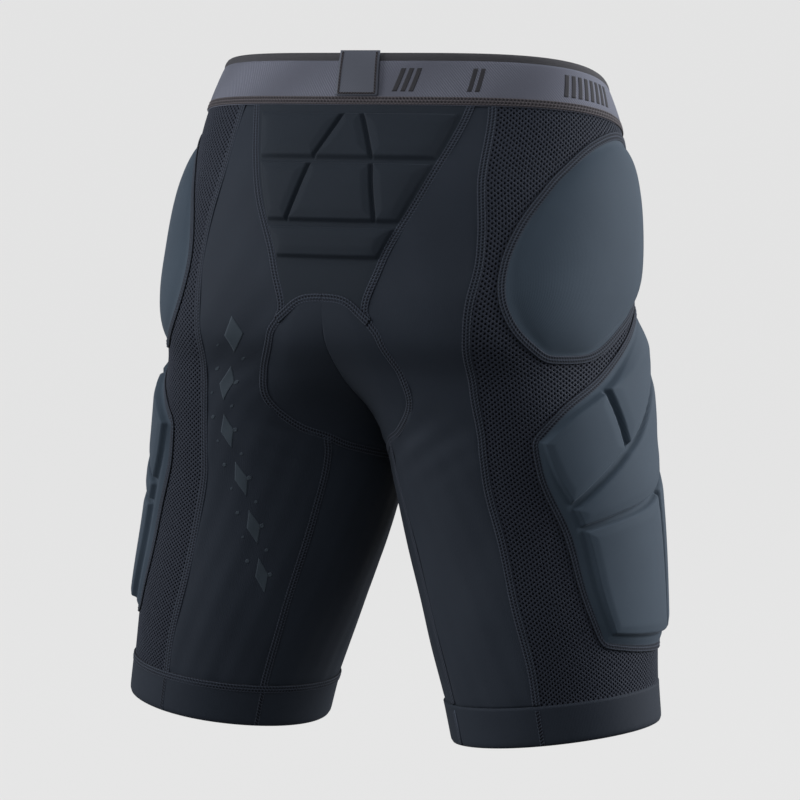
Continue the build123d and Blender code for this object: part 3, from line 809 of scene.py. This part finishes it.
# rolled edge at the top: a ribbed ring, flattened against the band
AROUND, ROLL = 300, 16            # steps round the waist and round the roll
ROLL_HEIGHT, ROLL_DEPTH, ROLL_LIFT = 3.2, 1.5, 1.0
turn, around = np.meshgrid(-90 + 360 * np.arange(AROUND) / AROUND,
                           np.linspace(0, 2 * np.pi, ROLL + 1)[:-1], indexing="ij")
rib = 0.08 * np.cos(np.radians(turn) * 300)
outer = skin_around(turn, ROLL_HEIGHT * (np.sin(around) - 1), ROLL_LIFT + (ROLL_DEPTH + rib) * np.cos(around))
first = np.arange(AROUND) * ROLL
ahead = np.roll(first, -1)
faces = np.concatenate([quads(AROUND, ROLL, 0, True),
                        np.stack([first + ROLL - 1, first, ahead, ahead + ROLL - 1], -1)])
piece = make("waist_edge", outer.reshape(-1, 3), faces.tolist(), EDGE,
             np.stack([np.radians(turn) * 160, around], -1).reshape(-1, 2))
centre_piece(piece, "dark_binding", "waistband_binding")


def line_around(turn, level, lift):
    """Points of a line round the waist and the directions outwards from it."""
    centre = skin_around(turn, level, lift)
    return centre, skin_around(turn, level, lift + 1) - centre


centre, normal = line_around(-90 + 360 * np.arange(1100) / 1100, WAIST_SEAM, 0)
piece = strip("waist_seam", centre, normal, SEAM_WIDTH, BAND, BAND_THREAD, wrap=True, pitch=2.7)
centre_piece(piece, "seam_thread", "waistband_seam")

# ---------------------------------------------------------------- rear tab
TAB_HALF, TAB_TOP, TAB_LOW = 6.0, 2.0, -29.0
turn, level = np.meshgrid(np.linspace(90 - TAB_HALF, 90 + TAB_HALF, 21), np.linspace(TAB_TOP, TAB_LOW, 25),
                          indexing="ij")
loose = 0.8 * np.sin(np.linspace(0, np.pi, 25))[None, :]
outer = skin_around(turn, level, BAND + 2.4 + loose)
inner = skin_around(turn, level, BAND + 1.2 + loose)
piece = centre_piece(shell("rear_tab_loop", outer, inner, TAB), "tab_webbing", "rear_tab")
TAB_STITCHES = [((-1, 0.04), (-1, 0.96)), ((1, 0.04), (1, 0.96)), ((-1, 0.96), (1, 0.96))]
for number, ((u0, v0), (u1, v1)) in enumerate(TAB_STITCHES):
    t = np.linspace(0, 1, 120)
    u, v = 0.86 * (u0 + (u1 - u0) * t), v0 + (v1 - v0) * t
    turn, level = 90 + TAB_HALF * u, TAB_TOP + (TAB_LOW - TAB_TOP) * v
    centre, normal = line_around(turn, level, BAND + 2.2 + 0.8 * np.sin(np.pi * v))
    piece = strip(f"tab_stitch_{number}", centre, normal, 1.5, 0.0, BAND_THREAD, rows=1, pitch=2.2)
    centre_piece(piece, "seam_thread")

# woven motif: groups of slanted bars on the waistband
BAR_GROUPS = [(101, 3, 2.3), (122, 2, 2.3), (153, 8, 3.0)]    # first turn, bars, spacing
BARS = [(first + pitch * k, pitch) for first, count, pitch in BAR_GROUPS for k in range(count)]
u, v = square(7, 13)
for number, (start, pitch) in enumerate(BARS):
    turn, level = start + pitch * 0.58 * u + 2.6 * (0.5 - v), -10.5 - 15.5 * v
    face, under = [skin_around(turn, level, BAND + stand) for stand in (0.66, 0.3)]
    centre_piece(shell(f"band_bar_{number:02d}", face, under, MOTIF), "waistband_elastic")

# ---------------------------------------------------------------- leg hems
HEM_SEAMS = {"side": 75.0, "inner": 132.0}    # where the leg's seams run on over the hem
HEM_LEVELS = 15
turn, level = np.meshgrid(np.arange(0, 360, 3.0), np.linspace(HEM_TOP + 1, HEM_BOTTOM, HEM_LEVELS),
                          indexing="ij")
fold = np.sqrt(np.clip(1 - ramp((np.linspace(0, 1, HEM_LEVELS) - 0.9) / 0.1), 0.05, 1))[None, :]
outer = skin(turn, level, BAND * (0.4 + 0.6 * fold) + 0.25 * np.sin(np.radians(turn) * 5))
inner = skin(turn, level, BAND * 0.4 * (1 - fold))
stitch_turn = np.arange(0, 360, 0.6)
centre, normal = body(stitch_turn, HEM_TOP), outward(stitch_turn, HEM_TOP)
# Known fault, kept as it is: only the left leg's ring follows the hem's top.  The right
# leg's takes the line of the left leg's last stitch, so the right hem has no ring.
for word, side in SIDES:
    piece = side_piece(shell(f"leg_hem_{word}", outer, inner, HEM, side, wrap=True), side,
                       "stretch_fabric", "hem")
    piece = strip(f"leg_hem_seam_{word}", centre, normal, 6.0, BAND - 0.3, THREAD, side, wrap=True)
    side_piece(piece, side, "seam_thread", "hem_seam")
    for spot, hem_turn in HEM_SEAMS.items():
        level = np.linspace(HEM_TOP - 2, HEM_BOTTOM + 1, 40)
        centre, normal = body(hem_turn, level), outward(hem_turn, level)
        piece = strip(f"hem_{spot}_stitch_{word}", centre, normal, 3.6, BAND - 0.3, THREAD, side, rows=2)
        side_piece(piece, side, "seam_thread")

# ---------------------------------------------------------------- flatlock seams
arch_u = np.linspace(0, 1, 11)
arch_height = ARCH_TOP + (ARCH_FOOT - ARCH_TOP) * arch_u**ARCH_BEND
ARCH = list(zip(middle(arch_height) - arch_u * (middle(arch_height) - yoke_edge(arch_height)),
                arch_height))
SEAMS = {
    "yoke_seam": YOKE_SEAM + [(82.5, -176)],
    "side_rear_seam": SIDE_REAR[:-1] + [(75, -453)],
    "side_front_seam": SIDE_FRONT[:-1] + [(-73, -453)],
    "front_seam": FRONT_SEAM,
    "arch_seam": ARCH,
    "saddle_seam": [(82.8, -178)] + SADDLE_REAR + SADDLE_LOW[1:-1] + SADDLE_FRONT[::-1] + [(272, -184)],
    "inseam_rear": [(135, -266)] + INSEAM_REAR[:-1] + [(132, -453)],
    "inseam_front": [(225, -267)] + INSEAM_FRONT[:-1] + [(228, -453)],
}
for name, points in SEAMS.items():
    low = FABRIC + (0.7 if name == "arch_seam" else -0.2)
    for word, side in SIDES:
        stitched(f"{name}_{word}", side, *path_on(points), low)

# ---------------------------------------------------------------- print on the left leg
# A plain diagonal row of slim diamonds with dots on both sides of it.
PRINT_START, PRINT_STEP = np.array([72.0, -190.0]), np.array([9.0, -36.0])    # angle, height
DIAMOND = np.array([(-3.5, 13), (3, 1), (3.5, -13), (-3, -1)])
DIAMOND_COUNT, DOT_COUNT = 6, 20


def printed(name, angle, height):
    """Thin coloured film that follows the cloth under it."""
    lift = FABRIC + creases(angle, height)
    piece = shell(name, skin(angle, height, lift + 0.16), skin(angle, height, lift - 0.25), PRINT)
    side_piece(piece, 1, "stretch_fabric")


for number in range(DIAMOND_COUNT):
    s, t = square(13, 13)
    s, t = s[..., None], t[..., None]
    a, b, c, d = PRINT_START + number * PRINT_STEP + DIAMOND
    grid = (1 - t) * ((1 - s) * a + s * b) + t * ((1 - s) * d + s * c)
    printed(f"print_diamond_{number}", grid[..., 0], grid[..., 1])
for number in range(DOT_COUNT):
    angle, height = PRINT_START + 0.25 * number * PRINT_STEP + (6 if number % 2 else -4, -8)
    radius = 1.0 + 0.25 * (number % 4)
    turn, reach = np.meshgrid(np.linspace(0, 2 * np.pi, 17), np.linspace(0.02, 1, 4), indexing="ij")
    across = np.degrees(radius / section(height)[1])
    printed(f"print_dot_{number:02d}", angle + across * reach * np.cos(turn),
            height + radius * reach * np.sin(turn))

# ---------------------------------------------------------------- seams round the pads
for name, outlines in (("hip_pad", HIP), ("thigh_pad", THIGH)):
    ring = outline_of(outlines, 40)
    for _ in range(3):
        ring = (np.roll(ring, 1, 0) + 2 * ring + np.roll(ring, -1, 0)) / 4
    where = body(ring[:, 0], ring[:, 1])
    length = np.linalg.norm(np.roll(where, -1, 0) - where, axis=-1)
    marks = np.concatenate([[0], np.cumsum(length)])
    even = np.arange(0, marks[-1], marks[-1] / int(marks[-1] / 0.8))
    angle = np.interp(even, marks, np.append(ring[:, 0], ring[0, 0]))
    height = np.interp(even, marks, np.append(ring[:, 1], ring[0, 1]))
    for word, side in SIDES:
        stitched(f"{name}_seam_{word}", side, angle, height, FABRIC + 0.6, wrap=True)

# ---------------------------------------------------------------- floor, light and camera
FLOOR = -0.62
GREY = linear(231, 231, 231)


def studio():
    """Plain pale floor that curves up into a backdrop all round, and a dim grey surrounding."""
    turn = np.radians(np.arange(0, 360, 7.5))
    rise = np.radians(np.arange(0, 91, 10))
    bend, tip = 12.0, 0.0002      # radius of the curve up, and of the closed ends
    reach = np.concatenate([[tip, 4.0], bend + bend * np.sin(rise), [24.0, 12.0, tip]])
    level = np.concatenate([[0.0, 0.0], bend - bend * np.cos(rise), [24.0, 34.0, 36.0]]) + FLOOR
    a, r = np.meshgrid(turn, reach, indexing="ij")
    points = np.stack([r * np.cos(a), r * np.sin(a), level + 0.0 * a], -1).reshape(-1, 3) / MM
    floor = make("floor", points, quads(len(turn), len(reach), 0, True).tolist(), None)
    n = Nodes("floor_paper")
    n.shader.inputs["Base Color"].default_value = (0.02, 0.02, 0.02, 1)
    n.shader.inputs["Roughness"].default_value = 1.0
    n.shader.inputs["Specular IOR Level"].default_value = 0.0
    n.shader.inputs["Emission Color"].default_value = GREY
    n.shader.inputs["Emission Strength"].default_value = 0.96
    floor.data.materials[0] = n.material
    floor.visible_diffuse = False
    floor.visible_glossy = False
    floor.visible_shadow = False
    floor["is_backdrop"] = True
    world = bpy.data.worlds.new("studio")
    world.use_nodes = True
    world.node_tree.nodes["Background"].inputs[0].default_value = GREY
    world.node_tree.nodes["Background"].inputs[1].default_value = 0.25
    bpy.context.scene.world = world
    bpy.context.scene.view_settings.view_transform = "Standard"


def soft_box(name, place, target, size, power):
    """Square area light aimed at the target."""
    light = bpy.data.lights.new(name, "AREA")
    light.size = size
    light.energy = power
    lamp = bpy.data.objects.new(name, light)
    lamp.location = place
    lamp.rotation_mode = "QUATERNION"
    lamp.rotation_quaternion = (Vector(target) - Vector(place)).to_track_quat("-Z", "Y")
    bpy.context.scene.collection.objects.link(lamp)


def camera(azimuth, elevation, distance, target, lens):
    """Camera aimed at the target; returns its directions to the right and level backwards."""
    a, e = math.radians(azimuth), math.radians(elevation)
    back = Vector((math.sin(a) * math.cos(e), -math.cos(a) * math.cos(e), math.sin(e)))
    eye = bpy.data.objects.new("camera", bpy.data.cameras.new("camera"))
    eye.data.lens = lens
    eye.data.sensor_width = 36.0
    eye.location = Vector(target) + back * distance
    eye.rotation_mode = "QUATERNION"
    eye.rotation_quaternion = (-back).to_track_quat("-Z", "Y")
    bpy.context.scene.collection.objects.link(eye)
    bpy.context.scene.camera = eye
    right = Vector((math.cos(a), math.sin(a), 0.0))
    return right, Vector((back.x, back.y, 0)).normalized()


CENTRE = Vector((0.0, 0.020, -0.245))
right, back = camera(azimuth=205.0, elevation=6.0, distance=2.5, target=CENTRE, lens=148.2)
studio()
UP = Vector((0, 0, 1))
soft_box("key", CENTRE + right * 1.8 - back * 0.28 + UP * 0.6, CENTRE, size=1.3, power=62)
soft_box("side", CENTRE - right * 1.7 + back * 0.1 + UP * 0.5, CENTRE, size=1.2, power=28)
soft_box("front", CENTRE + back * 1.7 - right * 0.5 + UP * 1.2, CENTRE, size=1.4, power=12)
soft_box("top", CENTRE + back * 0.8 + UP * 1.8, CENTRE, size=1.2, power=8)

low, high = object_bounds()
